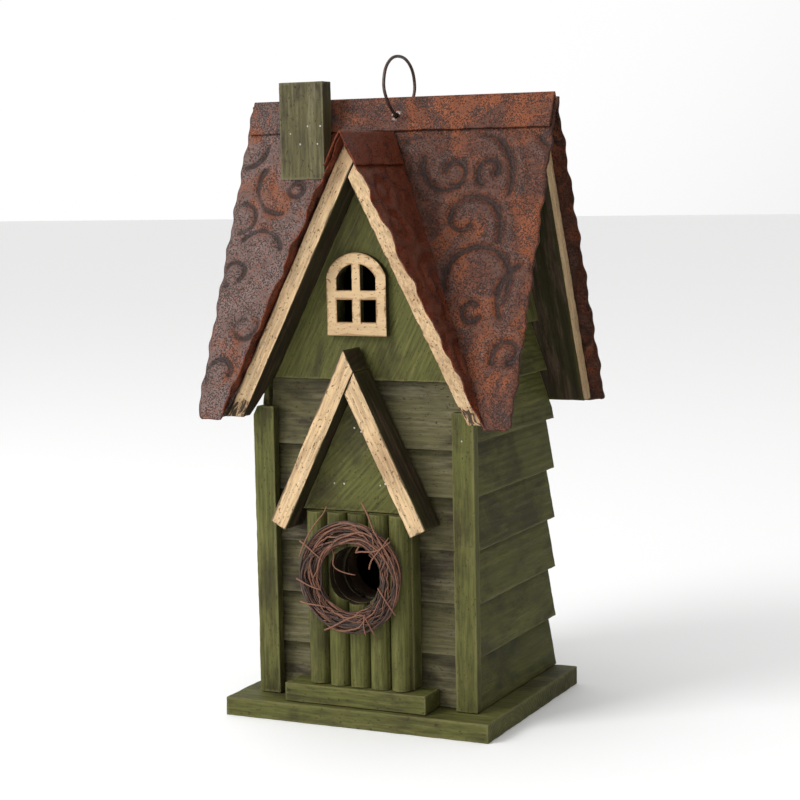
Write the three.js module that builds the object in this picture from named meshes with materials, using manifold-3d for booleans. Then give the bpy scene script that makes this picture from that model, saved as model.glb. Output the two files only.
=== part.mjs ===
// Rustic cottage birdhouse, in millimetres.
// +Z is up and the entrance faces -Y. The origin is the centre of the base board's underside.

import * as THREE from 'three';
import { mergeVertices } from 'three/addons/utils/BufferGeometryUtils.js';
import Module from 'manifold-3d';

const wasm = await Module();
wasm.setup();

// ---------------------------------------------------------------- driving dimensions

const gap = 0.25;              // clearance left between neighbouring pieces
const stock = 10.5;            // thickness of the boards in the body

// The inner box, and the board that it stands on
const houseWidth = 120;        // across the side walls
const houseDepth = 106;        // from the front wall's face to the back wall's face
const eaveHeight = 168.5;      // underside of every roof board's level cut
const porch = 30;              // base board in front of the front wall
const sideLedge = 20;          // base board beside each side wall

// Lapped siding: thick at its lower edge, thin where the next board covers it
const sidingButt = 7;
const sidingTip = 2;
const sidingLap = 6;
const sideCourses = 7;         // boards on each side below the gable end piece
const gableEndRise = 47.8;     // gable end piece's lower edge above the eave
const frontCourses = 4;        // equal boards on the front
const bandCourse = 25.8;       // the board above them
const topCourse = 36.7;        // the tall board under the gable panel
const seamRise = 20.7;         // gable panel's lower edge above the eave
const panelSetBack = 0.8;      // gable panel's face behind the siding's lower edges

// Corner posts
const postWidth = 13;
const postDepth = 6;
const postRise = 5.5;          // post's top above the eave

// Front gable, with its ridge along Y
const gableBoard = 9.5;
const gableRise = 155.8;       // ridge above the eave
const gableOverhang = 13.1;    // eave line past the siding
const gableReach = 23.4;       // boards' front edges in front of the front wall

// Main roof, with its ridge along X
const roofBoard = 11.2;
const ridgeStep = 19.5;        // ridge above the gable's ridge
const frontOverhang = 23.1;    // eave line in front of the siding
const rearOverhang = 13.3;     // eave line behind the back wall
const endOverhang = 19.3;      // boards' ends past the siding

// Sheet metal
const sheet = 0.6;
const standoff = 1.25;         // the embossed main sheets stand this far off their boards
const capFlap = 21.7;          // each side of a folded ridge cap
const sheetEnd = 8.4;          // main sheets past the boards' ends
const capEnd = 6.7;            // main cap past the boards' ends
const sheetFront = 7;          // gable sheets in front of the gable boards
const capFront = 8.1;          // gable cap in front of the gable boards
const drip = 0.9;              // sheets' lower edges below the eave
const waveHeight = 1;          // the hand-cut edges wander this far
const waveLength = 27;

// Window
const windowWidth = 36;
const windowHeight = 45.5;
const windowRise = 12.5;       // top of the arch above its springing
const windowDrop = 40.6;       // top of the arch below the gable boards' inner corner
const windowThick = 4;
const windowShift = -2.5;      // the frame sits a little to the left
const stile = 6.2;
const mullion = 5.2;
const bottomRail = 7.6;
const middleRail = 19.7;       // its lower edge above the sill
const windowLap = 3.5;         // frame's lap over the opening behind it

// Door
const doorDrop = 50.2;         // door's top below the eave
const doorInset = 22.25;       // door's sides inside the corner posts
const slatCount = 5;
const doorMargin = 0.5;        // door panel past the outer slats
const holeRadius = 16;         // entrance
const holeDrop = 34.3;         // entrance's centre below the door's top
const stepReach = 26.3;        // step's front face in front of the front wall
const stepInset = 11;          // step's ends inside the corner posts
const stepShift = -1;

// Pediment over the door
const pedimentShift = -2.5;
const pedimentReach = 28;      // boards' front edges in front of the front wall
const pedimentRise = 89.7;     // outer peak above the door's top
const pedimentInset = 6.8;     // boards' tips inside the corner posts
const pedimentTip = 6.4;       // boards' tips below the door's top

// Wreath
const wreathMargin = 1.4;      // ring's inner edge past the entrance
const wreathThick = 7.2;       // half the ring's thickness, across
const wreathDepth = 5.2;       // half the ring's thickness, front to back

// Chimney
const chimneyWidth = 28;
const chimneyMiddle = -53;
const chimneyFront = 18.6;     // front face in front of the ridge
const chimneyRise = 9.8;       // top above the ridge

// Hanging loop
const wireRadius = 0.9;
const wireHole = 1.7;          // radius of the hole through the ridge
const loopDrop = 10.6;         // hole's centre below the ridge
const loopHalf = 20.4;         // half the loop's width
const loopHeight = 33.2;       // top of the loop above the hole
const loopCut = 1;             // the loop's two ends stop this far apart in the hole

// Clean-out hole, its swivel cover and the cover's screw
const cleanRadius = 20;
const cleanHeight = 36;        // hole's centre above the base board
const coverMargin = 6;         // cover past the hole's edge
const coverThick = 5;
const coverSpace = 0.6;        // the cover runs this far off the wall
const pivotRise = 33;          // pivot above the hole's centre
const coverTop = 10;           // radius of the cover's narrow end
const screwRadius = 2;
const headRadius = 4.5;
const headThick = 2.6;
const screwBite = 9;           // screw's length in the wall
const runningFit = 0.1;

// ---------------------------------------------------------------- places worked out from them

const wallX = houseWidth / 2;
const outX = wallX + sidingButt;
const baseWidth = houseWidth + 2 * sideLedge;
const baseDepth = houseDepth + porch;
const backY = baseDepth / 2;
const frontY = backY - houseDepth;
const outY = frontY - sidingButt;
const floorZ = stock + gap;
const seamZ = eaveHeight + seamRise;
const postX = outX - postWidth;                     // post's inner side
const doorTopZ = eaveHeight - doorDrop;
const far = 3 * (houseWidth + houseDepth);          // longer than the whole object

// A roof is a tent of two planes. Depth is measured squarely inwards from the cap's face.
function tentOf(ridgeZ, halfSpan, middle) {
  const slope = halfSpan / (ridgeZ - eaveHeight);
  const angle = Math.atan(slope);
  const apex = (depth) => ridgeZ - depth / Math.sin(angle);
  const half = (z, depth = 0) => (apex(depth) - z) * slope;
  return { slope, angle, apex, half, middle, ridgeZ };
}

const gableRidgeZ = eaveHeight + gableRise;
const roofRun = (houseDepth + sidingButt + frontOverhang + rearOverhang) / 2;
const ridgeY = backY + rearOverhang - roofRun;
const gableTent = tentOf(gableRidgeZ, outX + gableOverhang, 0);
const mainTent = tentOf(gableRidgeZ + ridgeStep, roofRun, ridgeY);

// Layers of each roof, as depths: cap, sheet, board
const sheetOut = sheet + gap;
const sheetIn = sheetOut + sheet;
const gableOut = sheetIn + gap;
const gableIn = gableOut + gableBoard;
const mainOut = sheetIn + standoff;
const mainIn = mainOut + roofBoard;

// ---------------------------------------------------------------- solids

const wood = (color) => new THREE.MeshStandardMaterial({ color, roughness: 0.8, metalness: 0 });
const finish = {
  green: wood(0x5f6238),
  greyGreen: wood(0x66624a),
  cream: wood(0xd2b78c),
  bare: wood(0x7a5a38),
  twig: wood(0x4a2f22),
  rust: new THREE.MeshStandardMaterial({ color: 0x6d4638, roughness: 0.7, metalness: 0.5 }),
  wire: new THREE.MeshStandardMaterial({ color: 0x4a3f3b, roughness: 0.5, metalness: 0.8 }),
  zinc: new THREE.MeshStandardMaterial({ color: 0x9a9688, roughness: 0.4, metalness: 0.9 }),
};

function toSolid(geometry) {
  const bare = geometry.index ? geometry.toNonIndexed() : geometry.clone();
  for (const name of Object.keys(bare.attributes)) {
    if (name !== 'position') bare.deleteAttribute(name);
  }
  const merged = mergeVertices(bare, 1e-4);
  const vertProperties = new Float32Array(merged.attributes.position.array);
  const triVerts = new Uint32Array(merged.index.array);
  return new wasm.Manifold(new wasm.Mesh({ numProp: 3, vertProperties, triVerts }));
}

function toGeometry(solid) {
  const mesh = solid.getMesh();
  const geometry = new THREE.BufferGeometry();
  const points = new Float32Array(mesh.numVert * 3);
  for (let i = 0; i < mesh.numVert; i += 1) {
    for (let k = 0; k < 3; k += 1) points[i * 3 + k] = mesh.vertProperties[i * mesh.numProp + k];
  }
  geometry.setAttribute('position', new THREE.BufferAttribute(points, 3));
  geometry.setIndex(new THREE.BufferAttribute(new Uint32Array(mesh.triVerts), 1));
  return geometry;
}

// The outline lies across the axis: (y, z) for 'x', (x, z) for 'y' and (x, y) for 'z'.
const turns = {
  x: new THREE.Matrix4().set(0, 0, 1, 0, 1, 0, 0, 0, 0, 1, 0, 0, 0, 0, 0, 1),
  y: new THREE.Matrix4().set(1, 0, 0, 0, 0, 0, -1, 0, 0, 1, 0, 0, 0, 0, 0, 1),
  z: new THREE.Matrix4(),
};

function prism(outline, axis, from, to, curveSegments = 12) {
  const drawn = outline instanceof THREE.Shape;
  const shape = drawn ? outline : new THREE.Shape(outline.map(([a, b]) => new THREE.Vector2(a, b)));
  const geometry = new THREE.ExtrudeGeometry(shape, { depth: to - from, bevelEnabled: false, curveSegments });
  geometry.applyMatrix4(turns[axis]);
  const shift = { x: [from, 0, 0], y: [0, to, 0], z: [0, 0, from] }[axis];
  return toSolid(geometry.translate(...shift));
}

function box(x0, x1, y0, y1, z0, z1) {
  return prism([[x0, y0], [x1, y0], [x1, y1], [x0, y1]], 'z', z0, z1);
}

function roundBar(axis, a, b, radius, from, to, segments = 32) {
  const shape = new THREE.Shape();
  shape.absarc(a, b, radius, 0, 2 * Math.PI, false);
  return prism(shape, axis, from, to, segments);
}

// Everything inside a tent at a depth, as a long solid along the tent's ridge
function insideMain(depth) {
  const half = mainTent.half(-far, depth);
  return prism([[ridgeY - half, -far], [ridgeY + half, -far], [ridgeY, mainTent.apex(depth)]], 'x', -far, far);
}

function insideGable(depth) {
  const half = gableTent.half(-far, depth);
  return prism([[-half, -far], [half, -far], [0, gableTent.apex(depth)]], 'y', -far, ridgeY);
}

const group = new THREE.Group();

function piece(name, material, solid) {
  const mesh = new THREE.Mesh(toGeometry(solid), material);
  mesh.name = name;
  group.add(mesh);
}

// ---------------------------------------------------------------- base and inner walls

const entranceZ = doorTopZ - holeDrop;
const entrance = roundBar('y', 0, entranceZ, holeRadius, -far, frontY + 2 * stock);
const underRoofs = insideMain(mainIn + gap).add(insideGable(gableIn + gap));

piece('base_board', finish.green, box(-baseWidth / 2, baseWidth / 2, -backY, backY, 0, stock));

piece('front_wall', finish.bare,
  box(-wallX, wallX, frontY, frontY + stock, floorZ, seamZ - gap).intersect(underRoofs).subtract(entrance));

const cleanZ = floorZ + cleanHeight;
const pivotZ = cleanZ + pivotRise;
const cleanOut = roundBar('y', 0, cleanZ, cleanRadius, backY - 2 * stock, far);
const pilot = roundBar('y', 0, pivotZ, screwRadius + gap, backY - screwBite - gap, far, 16);
piece('back_wall', finish.green,
  box(-wallX, wallX, backY - stock, backY, floorZ, mainTent.ridgeZ)
    .intersect(insideMain(mainIn + gap)).subtract(cleanOut).subtract(pilot));

for (const [side, name] of [[-1, 'left_side_wall'], [1, 'right_side_wall']]) {
  const x = [side * wallX, side * (wallX - stock)].sort((a, b) => a - b);
  const wall = box(x[0], x[1], frontY + stock + gap, backY - stock - gap, floorZ, mainTent.ridgeZ);
  piece(name, finish.bare, wall.intersect(insideMain(mainIn + gap)));
}

// ---------------------------------------------------------------- siding

// Section of one board: out is the distance off the wall, z the height.
// A covered board has a thin tongue under the next one, and a lapping board is cut back over it.
function sidingSection(bottom, top, laps, covered) {
  const foot = laps
    ? [[gap, bottom + sidingLap + gap], [sidingTip + gap, bottom + sidingLap + gap], [sidingTip + gap, bottom]]
    : [[gap, bottom]];
  const head = covered
    ? [[sidingTip, top], [sidingTip, top + sidingLap], [gap, top + sidingLap]]
    : [[sidingTip, top], [gap, top]];
  return [...foot, [sidingButt, bottom], ...head];
}

const frontPitch = (seamZ - floorZ - topCourse - bandCourse) / frontCourses;
const frontEdges = [];
for (let i = 0; i <= frontCourses; i += 1) frontEdges.push(floorZ + i * frontPitch);
frontEdges.push(seamZ - topCourse, seamZ - gap);
for (let i = 0; i < frontEdges.length - 1; i += 1) {
  const last = i === frontEdges.length - 2;
  const section = sidingSection(frontEdges[i], frontEdges[i + 1], i > 0, !last);
  const board = prism(section.map(([out, z]) => [frontY - out, z]), 'x', -wallX, wallX);
  piece(`front_siding_${i + 1}`, finish.greyGreen, board.intersect(underRoofs).subtract(entrance));
}

const gableEndZ = eaveHeight + gableEndRise;
const sidePitch = (gableEndZ - floorZ) / sideCourses;
for (const [side, word] of [[-1, 'left'], [1, 'right']]) {
  for (let i = 0; i <= sideCourses; i += 1) {
    const last = i === sideCourses;
    const bottom = floorZ + i * sidePitch;
    const top = last ? mainTent.apex(mainIn) : bottom + sidePitch;
    const section = sidingSection(bottom, top, i > 0, !last);
    const board = prism(section.map(([out, z]) => [side * (wallX + out), z]), 'y', outY, backY);
    const name = last ? `${word}_gable_end` : `${word}_siding_${i + 1}`;
    piece(name, finish.green, board.intersect(underRoofs));
  }
}

// ---------------------------------------------------------------- corner posts and gable panel

for (const [side, name] of [[-1, 'left_corner_post'], [1, 'right_corner_post']]) {
  const x = [side * postX, side * outX].sort((a, b) => a - b);
  const post = box(x[0], x[1], outY - gap - postDepth, outY - gap, floorZ, eaveHeight + postRise);
  piece(name, finish.green, post.intersect(insideGable(gableIn + gap)));
}

const panelY = outY + panelSetBack;
const windowTopZ = gableTent.apex(gableIn) - windowDrop;
const sillZ = windowTopZ - windowHeight;
const archRadius = (windowWidth ** 2 / 4 + windowRise ** 2) / (2 * windowRise);
const archZ = windowTopZ - archRadius;

// The window's arched outline, inset at the sides and the top, from a level up
function archOutline(inset, bottom) {
  const radius = archRadius - inset;
  const half = windowWidth / 2 - inset;
  const start = Math.acos(half / radius);
  const shape = new THREE.Shape();
  shape.moveTo(windowShift - half, bottom);
  shape.lineTo(windowShift + half, bottom);
  shape.absarc(windowShift, archZ, radius, start, Math.PI - start, false);
  return shape;
}

const windowHole = prism(archOutline(windowLap, sillZ + windowLap), 'y', -far, far, 16);
piece('gable_panel', finish.green,
  box(-far, far, panelY, panelY + stock, seamZ, gableRidgeZ)
    .intersect(insideGable(gableIn + gap)).subtract(windowHole));

// ---------------------------------------------------------------- window frame

const windowY = panelY - gap;
const frameBack = prism(archOutline(0, sillZ), 'y', windowY - windowThick, windowY, 20);
const glassArea = prism(archOutline(stile, sillZ + bottomRail), 'y', -far, far, 16);
const railZ = sillZ + middleRail;
const bars = box(windowShift - mullion / 2, windowShift + mullion / 2, -far, far, 0, far)
  .add(box(-far, far, -far, far, railZ, railZ + mullion));
piece('window_frame', finish.cream, frameBack.subtract(glassArea.subtract(bars)));

// ---------------------------------------------------------------- pediment

// Two boards of one thickness that lean together. The left one runs through to the peak and the
// right one butts against it. Ends are cut level, or square when endZ is left out.
function leaningBoards({ middle, peakZ, slope, thick, endZ, innerEndZ }) {
  const angle = Math.atan(slope);
  const innerPeak = peakZ - thick / Math.sin(angle);
  const inner = (z) => (innerPeak - z) * slope;
  const outer = (z) => (peakZ - z) * slope;
  const end = (side) => {
    if (endZ !== undefined) return [[side * outer(endZ), endZ], [side * inner(endZ), endZ]];
    const [x, z] = [inner(innerEndZ), innerEndZ];
    return [[side * (x + thick * Math.cos(angle)), z + thick * Math.sin(angle)], [side * x, z]];
  };
  const crossX = outer((peakZ + innerPeak) / 2);
  const crossZ = (peakZ + innerPeak) / 2;
  const shift = gap / Math.cos(angle);
  const left = [...end(-1), [crossX, crossZ], [0, peakZ]];
  const right = [...end(1).reverse(), [crossX + shift / 2, crossZ - shift / (2 * slope)]];
  const rightFoot = [shift / 2, innerPeak - shift / (2 * slope)];
  const place = (points) => points.map(([x, z]) => [middle + x, z]);
  return { left: place(left), right: place([rightFoot, ...right]), innerPeak };
}

const pedimentTipX = postX - pedimentInset;
const pedimentPeakZ = doorTopZ + pedimentRise;
const pedimentSlope = pedimentTipX / (pedimentPeakZ - (doorTopZ - pedimentTip));
const pediment = leaningBoards({
  middle: pedimentShift,
  peakZ: pedimentPeakZ,
  slope: pedimentSlope,
  thick: stock,
  innerEndZ: doorTopZ - pedimentTip - stock * Math.sin(Math.atan(pedimentSlope)),
});
const pedimentY = frontY - pedimentReach;
const onSiding = outY - gap;
piece('pediment_board_left', finish.cream, prism(pediment.left, 'y', pedimentY, onSiding));
piece('pediment_board_right', finish.cream, prism(pediment.right, 'y', pedimentY, onSiding));

const underPeakZ = pediment.innerPeak - gap / Math.sin(Math.atan(pedimentSlope));
const underHalf = underPeakZ * pedimentSlope;
const underPediment = prism(
  [[pedimentShift - underHalf, 0], [pedimentShift + underHalf, 0], [pedimentShift, underPeakZ]], 'y', -far, far);
piece('pediment_panel', finish.green,
  box(-far, far, onSiding - stock, onSiding, doorTopZ, far).intersect(underPediment));

// ---------------------------------------------------------------- door and step

const stepTopZ = floorZ + stock;
const stepHalf = postX - stepInset;
piece('door_step', finish.green,
  box(stepShift - stepHalf, stepShift + stepHalf, frontY - stepReach, onSiding, floorZ, stepTopZ));

const doorHalf = postX - doorInset;
const slatPitch = (2 * (doorHalf - doorMargin)) / slatCount;
const doorFootZ = stepTopZ + gap;
const doorHeadZ = doorTopZ - gap;
const doorY = onSiding - stock;
piece('door_panel', finish.green,
  box(-doorHalf, doorHalf, doorY, onSiding, doorFootZ, doorHeadZ).intersect(underPediment).subtract(entrance));

// Half-round slats. The entrance cuts a slat in two where it is wider than the slat.
const slatRadius = (slatPitch - gap) / 2;
const middleSlat = (slatCount - 1) / 2;
function halfRound(x, bottom, top) {
  const shape = new THREE.Shape();
  shape.absarc(x, doorY - gap, slatRadius, Math.PI, 2 * Math.PI, false);
  return prism(shape, 'z', bottom, top, 10);
}
for (let i = 0; i < slatCount; i += 1) {
  const x = (i - middleSlat) * slatPitch;
  const spans = Math.abs(x) + slatRadius < holeRadius
    ? [['_lower', doorFootZ, entranceZ], ['_upper', entranceZ, doorHeadZ]]
    : [['', doorFootZ, doorHeadZ]];
  for (const [suffix, bottom, top] of spans) {
    const slat = halfRound(x, bottom, top).intersect(underPediment).subtract(entrance);
    piece(`door_slat_${i + 1}${suffix}`, finish.green, slat);
  }
}

// ---------------------------------------------------------------- wreath

const wreathRadius = holeRadius + wreathMargin + wreathThick;
const ring = [];
const ringSides = 10;
for (let i = 0; i <= ringSides; i += 1) {
  const turn = (2 * Math.PI * i) / ringSides;
  ring.push(new THREE.Vector2(wreathRadius + wreathThick * Math.cos(turn), wreathDepth * Math.sin(turn)));
}
ring[ringSides].copy(ring[0]);
const slatFrontY = doorY - gap - slatRadius;
const wreath = new THREE.LatheGeometry(ring, 32);
wreath.translate(0, slatFrontY - gap - wreathDepth, entranceZ);
piece('twig_wreath', finish.twig, toSolid(wreath));

// ---------------------------------------------------------------- roof boards

const gableY = frontY - gableReach;
const gableBoards = leaningBoards({
  middle: 0,
  peakZ: gableTent.apex(gableOut),
  slope: gableTent.slope,
  thick: gableBoard,
  endZ: eaveHeight,
});
for (const [word, outline] of [['left', gableBoards.left], ['right', gableBoards.right]]) {
  const board = prism(outline, 'y', gableY, ridgeY - gap).subtract(insideMain(mainIn));
  piece(`gable_roof_board_${word}`, finish.cream, board);
}

// Section of the main roof's board on one side of the ridge, in (y, z)
function mainSection(side, outDepth, inDepth, endZ, clearance) {
  const y = (z, depth) => ridgeY + side * mainTent.half(z, depth);
  const drop = clearance / mainTent.slope;
  return [
    [ridgeY + side * clearance, mainTent.apex(outDepth) - drop],
    [y(endZ, outDepth), endZ],
    [y(endZ, inDepth), endZ],
    [ridgeY + side * clearance, mainTent.apex(inDepth) - drop],
  ];
}

const boardEndX = outX + endOverhang;
const loopZ = mainTent.ridgeZ - loopDrop;
const loopHole = roundBar('y', 0, loopZ, wireHole, -far, far, 16);
piece('roof_board_back', finish.cream,
  prism(mainSection(1, mainOut, mainIn, eaveHeight, gap / 2), 'x', -boardEndX, boardEndX).subtract(loopHole));
const roundGable = insideGable(gableOut - gap);
for (const [side, word] of [[-1, 'left'], [1, 'right']]) {
  const x = [side * gap / 2, side * boardEndX].sort((a, b) => a - b);
  const board = prism(mainSection(-1, mainOut, mainIn, eaveHeight, gap / 2), 'x', x[0], x[1]);
  piece(`roof_board_front_${word}`, finish.cream, board.subtract(roundGable).subtract(loopHole));
}

// ---------------------------------------------------------------- sheet metal

// How far a hand-cut edge stands from its straight line
const wave = (s) => waveHeight * (0.6 * Math.sin((2 * Math.PI * s) / waveLength)
  + 0.4 * Math.sin((2 * Math.PI * s) / (waveLength * 0.43) + 1));
const waveStep = waveLength / 5;

// Points along a wavy edge from (a0, b0) to (a1, b1), without the last
function wavyEdge([a0, b0], [a1, b1], phase) {
  const length = Math.hypot(a1 - a0, b1 - b0);
  const steps = Math.ceil(length / waveStep);
  const points = [];
  for (let i = 0; i < steps; i += 1) {
    const t = i / steps;
    const ease = i === 0 ? 0 : 1;
    const off = ease * wave(t * length + phase);
    points.push([a0 + (a1 - a0) * t + (off * (b1 - b0)) / length, b0 + (b1 - b0) * t - (off * (a1 - a0)) / length]);
  }
  return points;
}

const sheetEndX = boardEndX + sheetEnd;
const sheetLowZ = eaveHeight - drip;
const sheetTopZ = mainTent.apex(sheetOut) - gap / mainTent.slope;

// Main sheet on one side of the ridge, between two x positions, with wavy rakes and eave
function mainSheet(side, x0, x1, wavyLeft, wavyRight) {
  const slab = prism(mainSection(side, sheetOut, sheetIn, sheetLowZ - 2 * waveHeight, gap / 2), 'x', -far, far);
  const corners = [[x0, sheetTopZ], [x0, sheetLowZ], [x1, sheetLowZ], [x1, sheetTopZ]];
  const outline = [
    ...(wavyLeft ? wavyEdge(corners[0], corners[1], 0) : [corners[0]]),
    ...wavyEdge(corners[1], corners[2], 40),
    ...(wavyRight ? wavyEdge(corners[2], corners[3], 75) : [corners[2]]),
    corners[3],
  ];
  return slab.intersect(prism(outline, 'y', -far, far));
}

piece('roof_sheet_back', finish.rust,
  mainSheet(1, -sheetEndX, sheetEndX, true, true).subtract(loopHole));
for (const [side, word] of [[-1, 'left'], [1, 'right']]) {
  const plate = side < 0
    ? mainSheet(-1, -sheetEndX, -gap / 2, true, false)
    : mainSheet(-1, gap / 2, sheetEndX, false, true);
  piece(`roof_sheet_front_${word}`, finish.rust, plate.subtract(roundGable).subtract(loopHole));
}

// Gable sheets end on the main sheets, along the valley
const offMain = insideMain(sheetOut - gap);
const sheetFrontY = gableY - sheetFront;
for (const [side, word] of [[-1, 'left'], [1, 'right']]) {
  const x = (z, depth) => side * gableTent.half(z, depth);
  const foot = gap / gableTent.slope;
  const slab = prism([
    [side * gap, gableTent.apex(sheetOut) - foot],
    [x(eaveHeight, sheetOut), eaveHeight],
    [x(eaveHeight, sheetIn), eaveHeight],
    [side * gap, gableTent.apex(sheetIn) - foot],
  ], 'y', -far, far);
  const outline = [
    ...wavyEdge([sheetFrontY, gableRidgeZ], [sheetFrontY, eaveHeight], side < 0 ? 10 : 55),
    [sheetFrontY, eaveHeight], [ridgeY, eaveHeight], [ridgeY, gableRidgeZ],
  ];
  piece(`gable_sheet_${word}`, finish.rust, slab.intersect(prism(outline, 'x', -far, far)).subtract(offMain));
}

// Folded ridge caps
function capSection(tent) {
  const flapDrop = capFlap * Math.cos(tent.angle);
  const outerZ = tent.ridgeZ - flapDrop;
  const innerZ = outerZ + sheet * Math.sin(tent.angle);
  const half = (z, depth) => tent.half(z, depth);
  return [
    [tent.middle, tent.ridgeZ],
    [tent.middle - half(outerZ, 0), outerZ], [tent.middle - half(innerZ, sheet), innerZ],
    [tent.middle, tent.apex(sheet)],
    [tent.middle + half(innerZ, sheet), innerZ], [tent.middle + half(outerZ, 0), outerZ],
  ];
}
const capEndX = boardEndX + capEnd;
piece('ridge_cap', finish.rust, prism(capSection(mainTent), 'x', -capEndX, capEndX).subtract(loopHole));
piece('gable_ridge_cap', finish.rust,
  prism(capSection(gableTent), 'y', gableY - capFront, ridgeY).subtract(insideMain(-gap)));

// ---------------------------------------------------------------- chimney

const capEdgeZ = mainTent.ridgeZ - capFlap * Math.cos(mainTent.angle);
const chimneyY = ridgeY - chimneyFront;
const capBlock = insideMain(-gap).intersect(box(-far, far, -far, far, capEdgeZ - gap, far));
piece('chimney_block', finish.greyGreen,
  box(chimneyMiddle - chimneyWidth / 2, chimneyMiddle + chimneyWidth / 2, chimneyY, chimneyY + stock,
    eaveHeight, mainTent.ridgeZ + chimneyRise)
    .subtract(offMain).subtract(capBlock));

// ---------------------------------------------------------------- hanging loop

// The wire goes through the hole along Y, and its two ends meet inside.
// Points are (outward from the ridge line, above the hole) for one half of the loop.
const halfLoop = [
  [loopCut / 2, 0],
  [0.22 * loopHalf, 0.1 * wireRadius],
  [0.58 * loopHalf, 0.13 * loopHeight],
  [0.88 * loopHalf, 0.32 * loopHeight],
  [loopHalf, 0.52 * loopHeight],
  [0.86 * loopHalf, 0.78 * loopHeight],
  [0.48 * loopHalf, 0.95 * loopHeight],
];
const wirePoint = (out, up) => new THREE.Vector3(0, ridgeY + out, loopZ + up);
const loopPoints = [
  ...halfLoop.map(([out, up]) => wirePoint(-out, up)),
  wirePoint(0, loopHeight),
  ...halfLoop.map(([out, up]) => wirePoint(out, up)).reverse(),
];
const wireSection = new THREE.Shape();
wireSection.absarc(0, 0, wireRadius, 0, 2 * Math.PI, false);
const loop = new THREE.ExtrudeGeometry(wireSection, {
  steps: 56,
  curveSegments: 8,
  extrudePath: new THREE.CatmullRomCurve3(loopPoints),
});
piece('hanging_loop', finish.wire, toSolid(loop));

// ---------------------------------------------------------------- clean-out cover and screw

const coverY = backY + coverSpace;
const coverEnd = cleanRadius + coverMargin;
const lean = Math.asin((coverEnd - coverTop) / pivotRise);
const coverShape = new THREE.Shape();
coverShape.absarc(0, cleanZ, coverEnd, Math.PI - lean, 2 * Math.PI + lean, false);
coverShape.absarc(0, pivotZ, coverTop, lean, Math.PI - lean, false);
piece('cleanout_cover', finish.green,
  prism(coverShape, 'y', coverY, coverY + coverThick, 24)
    .subtract(roundBar('y', 0, pivotZ, screwRadius + runningFit, -far, far, 24)));

const headY = coverY + coverThick + gap;
const screw = [
  [0, backY - screwBite], [screwRadius * 0.4, backY - screwBite], [screwRadius, backY - screwBite + 2],
  [screwRadius, headY], [headRadius, headY], [headRadius * 0.9, headY + headThick * 0.6],
  [headRadius * 0.55, headY + headThick], [0, headY + headThick],
].map(([r, y]) => new THREE.Vector2(r, y));
piece('cover_screw', finish.zinc, toSolid(new THREE.LatheGeometry(screw, 24).translate(0, 0, pivotZ)));

export default group;
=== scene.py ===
"""Rustic cottage birdhouse: worn painted boards, embossed rusty sheet, a wound twig wreath and its nails."""

import math

import bmesh
import bpy
import numpy as np
from mathutils import Matrix, Vector, noise


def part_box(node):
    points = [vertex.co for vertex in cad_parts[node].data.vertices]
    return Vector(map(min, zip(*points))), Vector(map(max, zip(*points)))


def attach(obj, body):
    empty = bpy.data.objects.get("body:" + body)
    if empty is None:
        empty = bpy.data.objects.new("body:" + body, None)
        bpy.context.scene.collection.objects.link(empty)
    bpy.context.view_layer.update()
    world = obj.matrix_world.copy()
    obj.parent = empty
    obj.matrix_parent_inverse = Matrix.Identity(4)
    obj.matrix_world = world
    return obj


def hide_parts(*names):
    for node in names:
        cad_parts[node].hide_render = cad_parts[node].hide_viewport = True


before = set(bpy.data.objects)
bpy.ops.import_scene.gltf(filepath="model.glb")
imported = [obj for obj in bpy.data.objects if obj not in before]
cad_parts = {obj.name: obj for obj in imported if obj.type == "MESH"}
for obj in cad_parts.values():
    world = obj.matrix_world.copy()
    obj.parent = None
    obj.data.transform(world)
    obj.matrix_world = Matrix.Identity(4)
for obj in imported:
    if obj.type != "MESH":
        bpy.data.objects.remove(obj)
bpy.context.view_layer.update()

bl_info = {
    "name": "Cottage Birdhouse",
    "version": (1, 0, 0),
    "blender": (4, 5, 0),
    "location": "View3D > Sidebar > Birdhouse",
    "description": "Builds the worn boards, rusty sheets, twig wreath and nails of a cottage birdhouse",
    "category": "Object",
}

MM = 0.001
X, Y, Z = Vector((1, 0, 0)), Vector((0, 1, 0)), Vector((0, 0, 1))
HOUSE, LOOP, COVER = "house", "hanging_loop", "cleanout_cover"


# ---------------------------------------------------------------- settings

def colour(name, about, default):
    return bpy.props.FloatVectorProperty(
        name=name, description=about, default=default, subtype="COLOR", size=3, min=0, max=1)


def length(name, about, default, top=0.1):
    return bpy.props.FloatProperty(
        name=name, description=about, default=default, min=0, max=top, subtype="DISTANCE", unit="LENGTH")


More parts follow.
